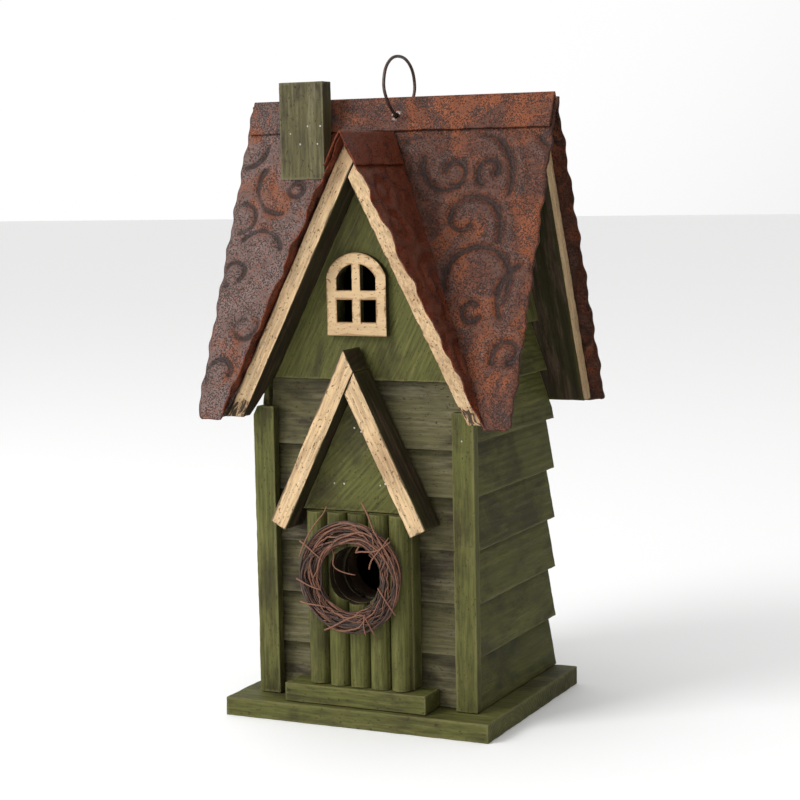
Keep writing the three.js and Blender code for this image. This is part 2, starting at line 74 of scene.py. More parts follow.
class BirdhouseWood(bpy.types.PropertyGroup):
    """Sizes and colours of the painted boards."""
    soften: length("Soft edge", "Width of the rounding along each sawn edge", 0.45 * MM)
    chip: length("Chips", "Depth of the chips and dents along the edges", 0.4 * MM)
    uneven: length("Unevenness", "Depth of the broad waves in a board's face", 0.12 * MM)
    row: length("Row spacing", "Distance between the rows of points along a board", 3.5 * MM)
    green: colour("Green", "Main olive paint", (0.090, 0.090, 0.026))
    green_brush: colour("Green brush strokes", "Lighter strokes over the olive paint", (0.142, 0.138, 0.046))
    green_smudge: colour("Green smudges", "Dark stain rubbed over the olive paint", (0.038, 0.033, 0.014))
    green_worn: colour("Green edges", "Paint worn thin along the edges", (0.165, 0.150, 0.062))
    grey: colour("Greyed green", "Main colour of the weathered siding", (0.102, 0.092, 0.044))
    grey_brush: colour("Grey brush strokes", "Dry strokes on the weathered siding", (0.185, 0.165, 0.100))
    grey_smudge: colour("Grey smudges", "Dark stain on the weathered siding", (0.032, 0.025, 0.018))
    cream: colour("Cream", "Paint on the boards' cut faces", (0.520, 0.365, 0.205))
    cream_brush: colour("Cream light", "Lighter strokes in the cream paint", (0.620, 0.470, 0.290))
    cream_smudge: colour("Cream smudges", "Brown glaze rubbed into the cream paint", (0.270, 0.160, 0.080))
    stain: colour("Dark stain", "Brown stain on broad faces and in cracks", (0.040, 0.026, 0.018))
    bare: colour("Bare wood", "Unpainted wood inside the box", (0.080, 0.052, 0.030))


class BirdhouseSheet(bpy.types.PropertyGroup):
    """Sizes and colours of the roof's sheet metal."""
    thick: length("Thickness", "Thickness of the sheet", 0.6 * MM)
    cell: length("Cell", "Distance between the points of an embossed sheet", 1.0 * MM)
    depth: length("Depth under the cap", "Sheet's face below the cap's face", 0.85 * MM)
    sink: length("Sink", "Embossed sheet's middle level below its face", 0.5 * MM)
    groove: length("Groove", "Depth of the embossed grooves", 0.8 * MM)
    ridge: length("Ridge", "Height of the rolls beside the grooves", 0.6 * MM)
    base: colour("Sheet brown", "Mauve brown of the sheet", (0.074, 0.028, 0.018))
    orange: colour("Rust orange", "Orange rust patches", (0.205, 0.058, 0.020))
    # grey is the worn, mottled grey and also a painted highlight on the raised places.
    grey: colour("Sheet grey", "Worn grey of the raised places", (0.100, 0.060, 0.048))
    pale: colour("Pale patina", "Pale mauve grey towards the left end", (0.165, 0.118, 0.108))
    # dark is the real black pitting and also painted shade in the grooves and dents.
    dark: colour("Pitting", "Black pits and grooves", (0.020, 0.013, 0.011))
    red: colour("Deep rust", "Red rust of the gable's sheets", (0.175, 0.036, 0.013))


class BirdhouseTrim(bpy.types.PropertyGroup):
    """Sizes and colours of the wreath, the wire and the nails."""
    twigs: bpy.props.IntProperty(
        name="Twigs", description="Twigs wound into the wreath", default=84, min=8, max=200)
    twig: length("Twig radius", "Radius of a middling twig", 0.48 * MM)
    bark: colour("Bark", "Dark bark", (0.034, 0.017, 0.011))
    bark_light: colour("Young bark", "Light red-brown bark", (0.180, 0.072, 0.038))
    nail: length("Nail head", "Radius of a nail's head", 0.62 * MM)
    iron: colour("Nail iron", "Dull iron of the nails and the wire", (0.105, 0.072, 0.058))
    zinc: colour("Zinc", "Plated screw", (0.500, 0.480, 0.440))
    bright: colour("Bright metal", "Bare metal where the sheet is torn", (0.700, 0.660, 0.600))


# ---------------------------------------------------------------- node trees

def add(tree, kind, inputs=None, **settings):
    """Adds a node and fills its inputs from values or from other nodes' outputs."""
    made = tree.nodes.new(kind)
    for key, value in settings.items():
        setattr(made, key, value)
    for key, value in (inputs or {}).items():
        if isinstance(value, bpy.types.NodeSocket):
            tree.links.new(value, made.inputs[key])
        else:
            made.inputs[key].default_value = value
    return made


def calc(tree, operation, *terms):
    return add(tree, "ShaderNodeMath", dict(enumerate(terms)), operation=operation).outputs[0]


def rise(tree, value, low, high, bottom=0.0, top=1.0):
    """Climbs smoothly from bottom to top while value goes from low to high."""
    span = {"Value": value, "From Min": low, "From Max": high, "To Min": bottom, "To Max": top}
    return add(tree, "ShaderNodeMapRange", span, interpolation_type="SMOOTHSTEP").outputs["Result"]


def over(tree, amount, under, top, mode="MIX"):
    layers = {0: amount, 6: under, 7: top}
    return add(tree, "ShaderNodeMix", layers, data_type="RGBA", blend_type=mode).outputs[2]


def grit(tree, place, size, detail=2.0, roughness=0.55, twist=0.0):
    """Noise whose features are about size metres across."""
    return add(tree, "ShaderNodeTexNoise", {"Vector": place, "Scale": 1 / size, "Detail": detail,
                                            "Roughness": roughness, "Distortion": twist}).outputs["Fac"]


def stretch(tree, place, *factors):
    return add(tree, "ShaderNodeVectorMath", {0: place, 1: factors}, operation="MULTIPLY").outputs[0]


def solid(rgb):
    return (*rgb, 1.0)


def new_material(name):
    made = bpy.data.materials.new(name)
    made.use_nodes = True
    made.node_tree.nodes.clear()
    return made, made.node_tree


def close_material(tree, base, roughness, height, depth, metallic=0.0, gloss=0.5):
    bump = add(tree, "ShaderNodeBump", {"Height": height, "Distance": depth, "Strength": 1.0}).outputs[0]
    given = {"Base Color": base, "Roughness": roughness, "Normal": bump, "Metallic": metallic,
             "Specular IOR Level": gloss}
    skin = add(tree, "ShaderNodeBsdfPrincipled", given).outputs[0]
    add(tree, "ShaderNodeOutputMaterial", {"Surface": skin})


def wood(name, body, brush, smudge, worn, dark, cloud=0.75, strokes=0.5, wear=1.5, wear_amount=0.5, pits=0.65,
         rings=0.2, fibre=1.0, roughness=0.62, depth=0.3, carried=False):
    """Painted wood. Its grain follows the board, and its paint wears off along the board's edges."""
    found = bpy.data.materials.get(name)
    if found:
        return found
    made, tree = new_material(name)
    if carried:
        place = add(tree, "ShaderNodeTexCoord").outputs["Object"]
    else:
        place = add(tree, "ShaderNodeAttribute", attribute_name="grain").outputs["Vector"]
    edge = add(tree, "ShaderNodeAttribute", attribute_name="edge").outputs["Fac"]
    crack = add(tree, "ShaderNodeAttribute", attribute_name="crack").outputs["Fac"]
    fibres = grit(tree, stretch(tree, place, 0.07, 1, 1), 1.1 * MM, 3, 0.62)
    bands = grit(tree, stretch(tree, place, 0.15, 1, 1), 7 * MM, 4, 0.66)
    clouds = grit(tree, stretch(tree, place, 0.6, 1, 1), 26 * MM, 4, 0.62, 0.3)
    pores = grit(tree, stretch(tree, place, 0.55, 1, 1), 1.0 * MM, 2, 0.6)
    drawn = stretch(tree, place, 0.05, 1, 1)
    ring = add(tree, "ShaderNodeTexWave", {"Vector": drawn, "Scale": 0.314 / (2.6 * MM), "Distortion": 2.5,
                                           "Detail": 2.0, "Detail Scale": 0.6},
               wave_type="RINGS", rings_direction="X").outputs["Fac"]
    paint = over(tree, rise(tree, clouds, 0.44, 0.66, 0, cloud), solid(body), solid(smudge))
    paint = over(tree, rise(tree, bands, 0.48, 0.70, 0, strokes), paint, solid(brush))
    streaks = rise(tree, fibres, 0.30, 0.66, 1 - 0.28 * fibre, 1 + 0.18 * fibre)
    paint = over(tree, 1.0, paint, streaks, "MULTIPLY")
    paint = over(tree, rings, paint, rise(tree, ring, 0.2, 0.9, 0.45, 1.15), "MULTIPLY")
    ragged = calc(tree, "ADD", edge, rise(tree, bands, 0.3, 0.7, -0.9, 0.9))
    rubbed = calc(tree, "SUBTRACT", wear_amount, rise(tree, ragged, 0.2, wear, 0, wear_amount))
    if not carried:
        paint = over(tree, rubbed, paint, solid(worn))
    splits = grit(tree, stretch(tree, place, 0.3, 1, 1), 3.2 * MM, 3, 0.7, 0.8)
    broken = rise(tree, calc(tree, "MULTIPLY", crack, splits), 0.46, 0.54, 0, 0.95)
    paint = over(tree, calc(tree, "MULTIPLY", crack, 0.45), paint, solid(smudge))
    paint = over(tree, broken, paint, solid(dark))
    pit = rise(tree, pores, pits, pits + 0.05, 0, 0.8)
    paint = over(tree, pit, paint, solid(dark))
    height = calc(tree, "MULTIPLY_ADD", fibres, 0.6, calc(tree, "MULTIPLY", ring, 0.25))
    height = calc(tree, "MULTIPLY_ADD", bands, 0.8, height)
    height = calc(tree, "SUBTRACT", height, calc(tree, "ADD", pit, broken))
    dull = rise(tree, fibres, 0.3, 0.7, roughness - 0.1, roughness + 0.14)
    close_material(tree, paint, dull, height, depth * MM, gloss=0.12)
    return made


def green_paint():
    w = bpy.context.scene.birdhouse_wood
    return wood("brushed_green", w.green, w.green_brush, w.green_smudge, w.green_worn, w.stain)


def grey_paint():
    w = bpy.context.scene.birdhouse_wood
    return wood("brushed_grey_green", w.grey, w.grey_brush, w.grey_smudge, w.grey_brush, w.stain, cloud=0.85,
                strokes=0.55, wear_amount=0.35, rings=0.2, roughness=0.7, depth=0.4)


def cream_paint():
    w = bpy.context.scene.birdhouse_wood
    return wood("cream_paint", w.cream, w.cream_brush, w.cream_smudge, w.stain, w.stain, cloud=0.5,
                strokes=0.45, wear=0.8, wear_amount=0.8, pits=0.63, rings=0.12, roughness=0.66, depth=0.3)


def dark_stain():
    w = bpy.context.scene.birdhouse_wood
    brown = tuple(2.8 * c for c in w.stain)
    return wood("dark_stain", w.green_smudge, brown, w.stain, w.green, w.stain, strokes=0.7, rings=0.3,
                depth=0.3)


def dark_bore():
    w = bpy.context.scene.birdhouse_wood
    return wood("dark_bore", w.stain, w.green_smudge, w.stain, w.stain, w.stain, strokes=0.4)


def window_paint():
    w = bpy.context.scene.birdhouse_wood
    return wood("window_cream", w.cream, w.cream_brush, w.cream_smudge, w.cream_smudge, w.stain, cloud=0.3,
                strokes=0.25, wear=0.9, wear_amount=0.9, pits=0.63, rings=0.0, fibre=0.25, roughness=0.66,
                depth=0.12)


def bare_wood():
    w = bpy.context.scene.birdhouse_wood
    light = tuple(1.3 * c for c in w.bare)
    return wood("raw_wood", w.bare, light, w.cream_smudge, light, w.stain, cloud=0.4, pits=0.74, carried=True)


def rust(name, base, orange, orange_share=0.5, pale=0.75, patina=None, shine=0.2):
    """Rusty sheet: mottled patches and black pitting, with painted shade darkening the grooves and dents, and the
    high places lightened as worn grey and painted highlight.
    """
    found = bpy.data.materials.get(name)
    if found:
        return found
    s = bpy.context.scene.birdhouse_sheet
    made, tree = new_material(name)
    place = add(tree, "ShaderNodeTexCoord").outputs["Object"]
    relief = add(tree, "ShaderNodeAttribute", attribute_name="relief").outputs["Fac"]
    torn = add(tree, "ShaderNodeAttribute", attribute_name="torn").outputs["Fac"]
    patches = grit(tree, place, 27 * MM, 5, 0.62, 0.5)
    mottle = grit(tree, place, 9 * MM, 4, 0.66)
    stipple = grit(tree, place, 0.8 * MM, 2, 0.6)
    dust = grit(tree, place, 2.0 * MM, 3, 0.7)
    low, high = 0.62 - 0.24 * orange_share, 0.74 - 0.24 * orange_share
    leftwards = calc(tree, "MULTIPLY", add(tree, "ShaderNodeSeparateXYZ", {0: place}).outputs[0], -1.0)
    faded = calc(tree, "MULTIPLY_ADD", mottle, 40 * MM, calc(tree, "SUBTRACT", leftwards, 20 * MM))
    skin = over(tree, rise(tree, faded, 15 * MM, 60 * MM, 0, pale), solid(base), solid(patina or s.pale))
    skin = over(tree, rise(tree, patches, low, high, 0, 0.8), skin, solid(orange))
    skin = over(tree, rise(tree, mottle, 0.52, 0.68, 0, 0.45), skin, solid(s.grey))
    skin = over(tree, rise(tree, dust, 0.48, 0.66, 0, 0.5), skin, solid(orange))
    # Raised places lighter: partly worn grey, partly a painted highlight on the embossed rolls.
    skin = over(tree, rise(tree, relief, 0.10, 0.80, 0, 0.35), skin, solid(s.grey))
    # Painted shade: the grooves, dents and dips are darkened with the pitting colour.
    groove_shade = rise(tree, calc(tree, "MULTIPLY", relief, -1.0), 0.05, 0.85, 0, 0.82)
    skin = over(tree, groove_shade, skin, solid(s.dark))
    black = calc(tree, "ADD", stipple, rise(tree, mottle, 0.3, 0.7, 0.07, -0.07))
    black = rise(tree, black, 0.52, 0.60, 0, 0.85)
    skin = over(tree, black, skin, solid(s.dark))
    skin = over(tree, torn, skin, solid(bpy.context.scene.birdhouse_trim.bright))
    height = calc(tree, "MULTIPLY_ADD", mottle, 1.2, calc(tree, "MULTIPLY", dust, 0.5))
    height = calc(tree, "MULTIPLY_ADD", black, -0.6, height)
    close_material(tree, skin, rise(tree, mottle, 0.35, 0.65, 0.42, 0.66), height, 0.45 * MM, shine, 0.2)
    return made


def brown_rust():
    s = bpy.context.scene.birdhouse_sheet
    return rust("brown_rust", s.base, s.orange)


def cap_rust():
    s = bpy.context.scene.birdhouse_sheet
    return rust("cap_rust", s.base, s.orange, 0.55, 0.9, tuple(0.55 * c for c in s.pale))


def red_rust():
    s = bpy.context.scene.birdhouse_sheet
    return rust("red_rust", s.red, s.orange, 0.3, 0.0)


def metal(name, base, roughness, stain=0.5):
    """Dull metal with darker spots."""
    found = bpy.data.materials.get(name)
    if found:
        return found
    made, tree = new_material(name)
    place = add(tree, "ShaderNodeTexCoord").outputs["Object"]
    spots = grit(tree, place, 2.2 * MM, 4, 0.65)
    scratches = grit(tree, stretch(tree, place, 1, 1, 0.1), 0.5 * MM, 2)
    skin = over(tree, rise(tree, spots, 0.42, 0.66, 0, stain), solid(base), solid([c * 0.35 for c in base]))
    skin = over(tree, rise(tree, scratches, 0.55, 0.7, 0, 0.3), skin, solid([min(1, c * 1.9) for c in base]))
    dull = rise(tree, spots, 0.3, 0.7, roughness - 0.12, roughness + 0.12)
    close_material(tree, skin, dull, spots, 0.15 * MM, 0.85)
    return made


def bark():
    found = bpy.data.materials.get("twig_bark")
    if found:
        return found
    t = bpy.context.scene.birdhouse_trim
    made, tree = new_material("twig_bark")
    place = add(tree, "ShaderNodeTexCoord").outputs["Object"]
    tone = add(tree, "ShaderNodeAttribute", attribute_name="tone").outputs["Fac"]
    patches = grit(tree, place, 7 * MM, 3, 0.6)
    fine = grit(tree, place, 0.7 * MM, 2, 0.6)
    share = calc(tree, "MULTIPLY_ADD", patches, 0.8, calc(tree, "SUBTRACT", tone, 0.40))
    skin = over(tree, rise(tree, share, 0.15, 0.85), solid(t.bark), solid(t.bark_light))
    skin = over(tree, 1.0, skin, rise(tree, fine, 0.3, 0.65, 0.6, 1.2), "MULTIPLY")
    close_material(tree, skin, rise(tree, fine, 0.3, 0.7, 0.5, 0.75), fine, 0.12 * MM)
    return made


# ---------------------------------------------------------------- meshes

def new_piece(name, mesh, body, slot, *replaced):
    piece = bpy.data.objects.new(name, mesh)
    bpy.context.scene.collection.objects.link(piece)
    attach(piece, body)
    if replaced:
        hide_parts(*replaced)
    return piece


def write_values(mesh, name, kind, values):
    layer = mesh.attributes.new(name, kind, "POINT")
    key = "vector" if kind == "FLOAT_VECTOR" else "value"
    layer.data.foreach_set(key, np.asarray(values, np.float32).ravel())


def write_smooth(bm, mesh):
    """Writes the faces to a mesh, all smooth, and frees them."""
    for face in bm.faces:
        face.smooth = True
    bm.to_mesh(mesh)
    bm.free()


def slice_plane(bm, point, normal, **settings):
    bmesh.ops.bisect_plane(bm, geom=bm.verts[:] + bm.edges[:] + bm.faces[:], plane_co=point, plane_no=normal,
                           **settings)


def edge_distance(points, starts, ends):
    """Distance from each point to the nearest of some straight edges."""
    least = np.full(len(points), 1.0)
    for a, b in zip(starts, ends):
        along = b - a
        t = np.clip((points - a) @ along / max(along @ along, 1e-12), 0, 1)
        least = np.minimum(least, np.linalg.norm(points - a - t[:, None] * along, axis=1))
    return least


def board_directions(bm):
    """A board's grain runs along its longest edge, and its broad face is its largest one."""
    longest = max(bm.edges, key=lambda e: e.calc_length())
    along = (longest.verts[1].co - longest.verts[0].co).normalized()
    flat = max(bm.faces, key=lambda f: f.calc_area()).normal.copy()
    return along, flat


def cut_rows(bm, direction, row, band):
    """Cuts rows of points across a board, with one more close to each end."""
    heights = [v.co.dot(direction) for v in bm.verts]
    low, high = min(heights), max(heights)
    stops = [low + band, high - band] if high - low > 3 * band else []
    count = int((high - low) / row)
    stops += [low + (i + 1) * (high - low) / (count + 1) for i in range(count)]
    for stop in stops:
        slice_plane(bm, direction * stop, direction, dist=1e-6)


def worn_board(node, finishes, slot, along=None, cut_face=None, crack=None, body=HOUSE, rough=1.0):
    """A board in a CAD node's place, with softened, chipped edges. Its faces turned towards cut_face, or
    round the entrance where there is none, take the second finish. crack gives how broken the wood is at
    a point, from 0 to 1."""
    w = bpy.context.scene.birdhouse_wood
    bm = bmesh.new()
    bm.from_mesh(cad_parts[node].data)
    bmesh.ops.remove_doubles(bm, verts=bm.verts, dist=2e-6)
    bmesh.ops.dissolve_limit(bm, angle_limit=math.radians(1), verts=bm.verts, edges=bm.edges)
    longest, flat = board_directions(bm)
    along = (along or longest).normalized()
    flat = (flat - along * flat.dot(along)).normalized()
    across = flat.cross(along)
    sharp = [e for e in bm.edges if e.calc_face_angle(0) > math.radians(34)]
    starts = np.array([e.verts[0].co[:] for e in sharp])
    ends = np.array([e.verts[1].co[:] for e in sharp])
    bmesh.ops.bevel(bm, geom=sharp, offset=w.soften, offset_type="OFFSET", segments=2, profile=0.6,
                    affect="EDGES", clamp_overlap=True)
    for direction in (along, across, flat):
        cut_rows(bm, direction, w.row, 1.5 * MM)
    bmesh.ops.triangulate(bm, faces=[f for f in bm.faces if len(f.verts) > 4])
    bm.normal_update()
    seed = sum(node.encode()) * 0.137
    shift = Vector((seed % 1.0, 0.03 + 0.013 * math.sin(seed), 0.02 + 0.011 * math.cos(2 * seed)))
    places = np.array([v.co[:] for v in bm.verts])
    edge = edge_distance(places, starts, ends)
    broken = [crack(v.co) if crack else 0.0 for v in bm.verts]
    grain = [(v.co.dot(along) + shift.x, v.co.dot(across) + shift.y, v.co.dot(flat) + shift.z)
             for v in bm.verts]
    for v, distance, split in zip(bm.verts, edge, broken):
        near = max(0.0, 1 - distance / (1.7 * MM))
        chips = max(0.0, noise.noise(v.co * 190 + shift * 40) + 0.15)
        chips += 0.6 * max(0.0, noise.noise(v.co * 520))
        waves = 0.5 + 0.5 * noise.noise(v.co * 55 + shift * 9)
        splits = 1.6 * split * max(0.0, noise.noise(v.co * 420))
        v.co -= v.normal * rough * ((near * near * chips + splits) * w.chip + waves * w.uneven)
    mesh = bpy.data.meshes.new(node)
    low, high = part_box("twig_wreath")
    entrance, bore = (low + high) / 2, 16.6 * MM if len(finishes) > 1 else 0.0
    for face in bm.faces:
        if cut_face:
            face.material_index = face.normal.dot(cut_face) > 0.5
        else:
            middle = face.calc_center_median() - entrance
            face.material_index = math.hypot(middle.x, middle.z) < bore and abs(face.normal.y) < 0.5
    write_smooth(bm, mesh)
    write_values(mesh, "grain", "FLOAT_VECTOR", grain)
    write_values(mesh, "edge", "FLOAT", edge / MM)
    write_values(mesh, "crack", "FLOAT", broken)
    for finish in finishes:
        mesh.materials.append(finish)
    piece = new_piece("worn_" + node, mesh, body, slot, node)
    piece.modifiers.new("Flat faces", "WEIGHTED_NORMAL").keep_sharp = True
    return piece


# ---------------------------------------------------------------- roofs

class Slope:
    """One side of a roof. A place is across (along the ridge), down from the ridge and out of the slope."""

    def __init__(self, cap, ridge_axis, side):
        low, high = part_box(cap)
        flat_axis = X if ridge_axis is Y else Y
        self.side, self.ridge_axis, self.flat_axis = side, ridge_axis, flat_axis
        run = (high - low).dot(flat_axis) / 2
        drop = high.z - low.z
        self.angle = math.atan2(run, drop)
        middle = (low + high).dot(flat_axis) / 2
        self.ridge = flat_axis * middle + Z * high.z
        self.down = flat_axis * (side * math.sin(self.angle)) - Z * math.cos(self.angle)
        self.out = flat_axis * (side * math.cos(self.angle)) + Z * math.sin(self.angle)

    def reach(self, z, depth=0.0):
        """Distance down the slope to a level, at a depth under the cap's face."""
        return (self.ridge.z - depth * math.sin(self.angle) - z) / math.cos(self.angle)

    def place(self, across, down, out):
        return np.array(self.ridge) + np.outer(across, self.ridge_axis) + np.outer(down, self.down) \
            + np.outer(out, self.out)


def wave(s, size, length=27 * MM):
    """How far a hand-cut edge stands from its line."""
    turn = 2 * math.pi * s / length
    return size * (0.6 * np.sin(turn) + 0.4 * np.sin(turn / 0.43 + 1))


def scroll_distance(across, down, scrolls):
    """Distance to the nearest embossed groove. A scroll is (across, down, first radius, last radius,
    first angle, last angle), in millimetres and degrees, with the angle turning from across to down."""
    least = np.full(across.shape, 1.0)
    for a, d, first, last, start, stop in scrolls:
        t = np.linspace(0, 1, max(8, int(abs(stop - start) / 9)))
        angle = np.radians(start + (stop - start) * t)
        radius = (last + (first - last) * (1 - t) ** 2.2) * MM
        line = np.stack([a * MM + radius * np.cos(angle), d * MM + radius * np.sin(angle)], 1)
        for p, q in zip(line[:-1], line[1:]):
            along = q - p
            s = np.clip(((across - p[0]) * along[0] + (down - p[1]) * along[1]) / (along @ along), 0, 1)
            least = np.minimum(least, np.hypot(across - p[0] - s * along[0], down - p[1] - s * along[1]))
    return least


def noise_field(points, size, seed):
    return np.array([noise.noise(Vector(p) / size + Vector((seed, 2.3 * seed, 0))) for p in points])


def grid_faces(rows, columns):
    index = np.arange(rows * columns).reshape(rows, columns)
    return np.stack([index[:-1, :-1], index[1:, :-1], index[1:, 1:], index[:-1, 1:]], -1).reshape(-1, 4)


def sheet_metal(name, mesh, bm, cut, out, node, finish):
    """Trims a sheet by a plane (point, normal), turns its faces outwards and gives it a wall."""
    if cut:
        slice_plane(bm, *cut, clear_outer=True)
    bm.normal_update()
    facing = sum((f.normal for f in bm.faces), Vector())
    if facing.dot(out) < 0:
        bmesh.ops.reverse_faces(bm, faces=bm.faces)
    write_smooth(bm, mesh)
    mesh.materials.append(finish)
    piece = new_piece(name, mesh, HOUSE, "rusty_sheet", node)
    wall = piece.modifiers.new("Wall", "SOLIDIFY")
    wall.thickness = bpy.context.scene.birdhouse_sheet.thick
    wall.offset = -1


def sheet_piece(name, slope, across, down, out, relief, finish, cut, node):
    """A thin sheet on a slope, from grids of places. relief is kept for the finish, which paints shade into the low
    places and lightens the high ones as wear and painted highlight.
    """
    places = slope.place(across.ravel(), down.ravel(), out.ravel())
    mesh = bpy.data.meshes.new(name)
    mesh.from_pydata(places.tolist(), [], grid_faces(*across.shape).tolist())
    write_values(mesh, "relief", "FLOAT", relief)
    bm = bmesh.new()
    bm.from_mesh(mesh)
    sheet_metal(name, mesh, bm, cut, slope.out, node, finish)


# ---------------------------------------------------------------- embossed pattern

RIGHT_SCROLLS = [
    (39, 44, 20, 4, 205, -200), (62, 44, 10, 4, 115, 400), (47, 52, 47, 28, 214, 372), (50, 74, 25, 5, 28, -330),
    (61, 109, 17, 21, 165, 400), (62, 126, 6, 5, 30, 300), (98, 118, 22, 22, 150, 236), (87, 149, 10, 5, 150, 440),
    (98, 20, 13, 11, 90, 190),
]
LEFT_SCROLLS = [
    (64, 53, 18, 16, -35, 95), (56, 54, 5, 4, 0, 330), (86, 104, 9, 5, 60, -240), (72, 92, 15, 12, 330, 190),
    (75, 137, 10, 5, 220, -100), (84, 163, 10, 6, 30, -200), (88, 72, 10, 8, 270, 90), (92, 30, 13, 10, 190, 80),
]
GABLE_SCROLLS = [
    (17, 36, 7, 6, 0, 330), (16, 58, 8, 6, -120, 210), (30, 88, 15, 11, 150, 290), (14, 104, 12, 9, -30, 80),
    (20, 136, 13, 8, 150, 300), (12, 156, 9, 7, -60, 90),
]


def embossing(across, down, scrolls, seed, settings):
    """Height of an embossed sheet: grooves with a soft roll on each side, and dents between."""
    least = scroll_distance(across, down, scrolls)
    heights = settings.ridge * np.exp(-((least - 5.2 * MM) / (2.9 * MM)) ** 2)
    heights -= settings.groove * np.exp(-(least / (2.0 * MM)) ** 2)
    flat = np.stack([across.ravel(), down.ravel(), np.zeros(across.size)], 1)
    heights += 0.45 * MM * noise_field(flat, 15 * MM, seed).reshape(across.shape)
    heights += 0.16 * MM * noise_field(flat, 5 * MM, seed + 7).reshape(across.shape)
    return heights


def ease(value, low, high):
    t = np.clip((value - low) / (high - low), 0, 1)
    return t * t * (3 - 2 * t)


def main_sheet(name, node, side, turn, first, finish, scrolls, seed, cut=None):
    """An embossed main sheet, from first to the CAD sheet's end. turn is 1 to the right and -1 to the left,
    and a sheet with no first runs from end to end."""
    s = bpy.context.scene.birdhouse_sheet
    slope = Slope("ridge_cap", X, side)
    low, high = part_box(node)
    end = turn * (high.x if turn > 0 else low.x) - 1.1 * MM
    first = -end if first is None else first
    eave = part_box("roof_board_back")[0].z - 0.7 * MM
    level = s.depth + s.sink
    top, foot = s.depth / math.tan(slope.angle) + 0.3 * MM, slope.reach(eave, level)
    rows, columns = int((foot - top) / s.cell) + 1, int((end - first) / s.cell) + 1
    t, u = np.meshgrid(np.linspace(0, 1, rows), np.linspace(0, 1, columns), indexing="ij")
    straight = top + (foot - top) * t
    corner = 5 * MM
    past = np.clip(straight - (foot - corner), 0, corner)
    rake = end + wave(straight + turn * 31 * MM, 0.9 * MM) - (corner - np.sqrt(corner ** 2 - past ** 2)) * 0.6
    start = first if first > 0 else -end - wave(straight + 50 * MM, 0.9 * MM)
    across = start + (rake - start) * u
    down = straight + t * wave(across + seed * MM, 0.7 * MM)
    height = embossing(np.abs(across), down, scrolls, seed, s)
    inside = np.minimum(ease(down, 22.5 * MM, 27 * MM), ease(rake - across, 0, 3 * MM))
    if first <= 0:
        inside = np.minimum(inside, ease(across - start, 0, 3 * MM))
    height *= inside * ease(foot - down, -1 * MM, 3 * MM)
    height -= 0.35 * MM * (1 - ease(rake - across, 0, 2.2 * MM))
    across, relief = turn * across, height / s.groove
    sheet_piece(name, slope, across, down, height - level, relief, finish, cut, node)


def gable_sheet(name, node, side, finish):
    """A wavy sheet on the front gable, which ends along the valley."""
    s = bpy.context.scene.birdhouse_sheet
    slope, main = Slope("gable_ridge_cap", Y, side), Slope("ridge_cap", X, -1)
    low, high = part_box(node)
    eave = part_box("gable_roof_board_left")[0].z + 0.2 * MM
    top, foot = s.depth / math.tan(slope.angle) + 0.3 * MM, slope.reach(eave, s.depth)
    rows, columns = int((foot - top) / s.cell) + 1, int((high.y - low.y) / s.cell) + 1
    t, u = np.meshgrid(np.linspace(0, 1, rows), np.linspace(0, 1, columns), indexing="ij")
    down = top + (foot - top) * t
    front = low.y + 1.9 * MM + wave(down + side * 13 * MM, 1.2 * MM, 34 * MM) + wave(down, 0.3 * MM, 12 * MM)
    across = front + (high.y - front) * u
    from_front = across - front
    height = embossing(from_front, down, GABLE_SCROLLS, 20 + side, s) + 0.35 * MM
    height = np.maximum(height * 1.3, -0.15 * MM) * ease(down, 20 * MM, 27 * MM)
    flutter = 0.9 * MM * np.sin(2 * np.pi * down / (29 * MM) + side)
    flutter += 0.25 * MM * np.sin(2 * np.pi * down / (11 * MM))
    height += flutter * (1 - ease(from_front, 0.5 * MM, 6.5 * MM)) * ease(down, 18 * MM, 30 * MM)
    cut = (main.ridge - main.out * (s.depth + 0.35 * MM), -main.out)
    sheet_piece(name, slope, across, down, height - s.depth, height / (1.6 * MM), finish, cut, node)


